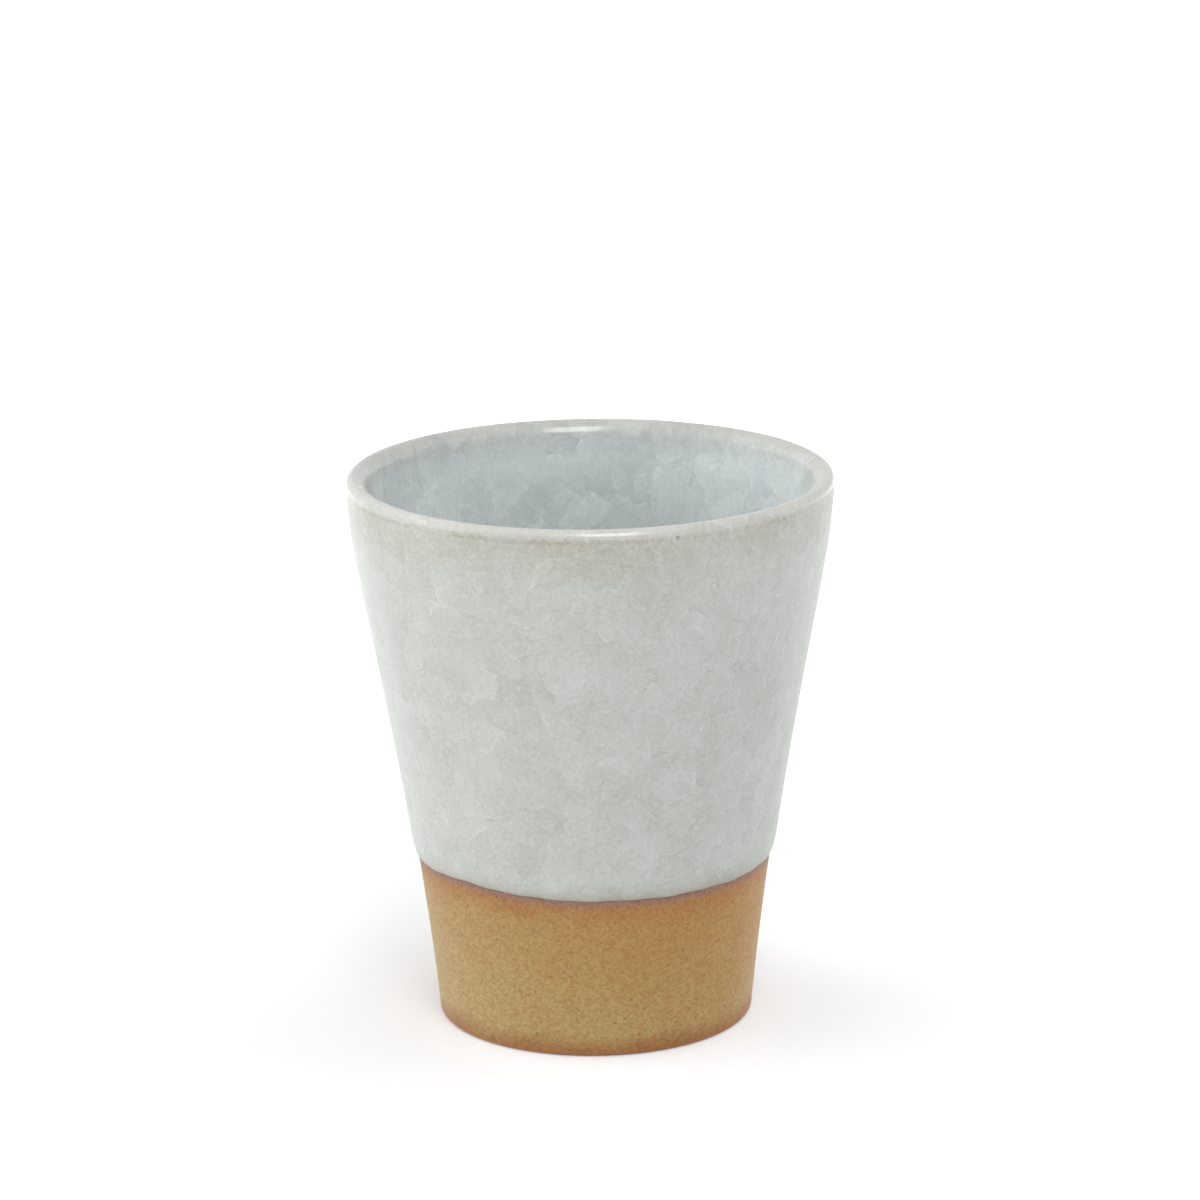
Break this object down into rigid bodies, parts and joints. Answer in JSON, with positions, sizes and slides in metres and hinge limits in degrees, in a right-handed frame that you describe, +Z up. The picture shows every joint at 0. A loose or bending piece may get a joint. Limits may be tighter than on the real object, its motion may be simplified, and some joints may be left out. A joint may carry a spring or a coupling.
{
  "type": "tea cup",
  "caption": "Handle-less tapered stoneware tea cup with a flared wall, rounded lip, bare clay base with a turned foot ring, and a pale crackle glaze inside and out.",
  "frame": {"origin": "on the table, under the middle of the foot", "axes": "+Z up along the cup's axis, towards the mouth; the cup is round, so +X and +Y are free"},
  "size_m": [0.08, 0.08, 0.092],
  "materials": {
    "bare_stoneware": "unglazed, matte and sandy, with dark iron specks",
    "outside_glaze": "satin pale grey-green glaze with a fine layered crackle",
    "inside_glaze": "glossy pale blue-grey glaze with a broad layered crackle"
  },
  "bodies": {
    "root": {"clay_body": "bare_stoneware", "outer_glaze": "outside_glaze", "inner_glaze": "inside_glaze"}
  },
  "joints": []
}
